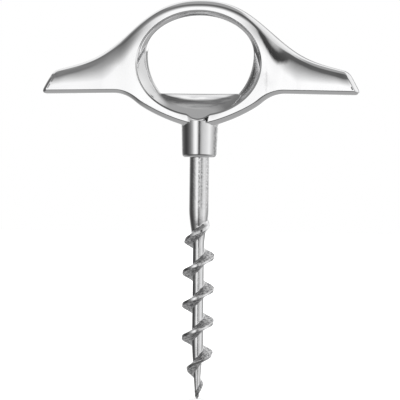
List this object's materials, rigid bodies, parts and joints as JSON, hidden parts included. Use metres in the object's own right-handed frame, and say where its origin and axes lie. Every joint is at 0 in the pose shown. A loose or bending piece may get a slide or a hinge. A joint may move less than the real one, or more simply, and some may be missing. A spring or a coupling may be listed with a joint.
{
  "type": "t-handle corkscrew with cap lifter",
  "caption": "T-handle pull corkscrew: die-cast ring grip with side wings, a cap lifter lip in the ring and a collar, holding a right-hand auger worm.",
  "frame": {"origin": "middle of the bounding box, on the worm's axis, 12.6 mm below the collar's lower face", "axes": "+Z along the worm's axis from its tip towards the ring, X along the wings, front face towards -Y, which the parting plane y = 0 mirrors"},
  "size_m": [0.0958, 0.011, 0.1196],
  "materials": {
    "chrome_plating": "bright chrome plate over a polished zinc casting",
    "worm_steel": "bright plated steel, smooth shank and core, rough as-formed flight flanks"
  },
  "bodies": {
    "root": {"handle_casting": "chrome_plating", "worm": "worm_steel"}
  },
  "joints": []
}
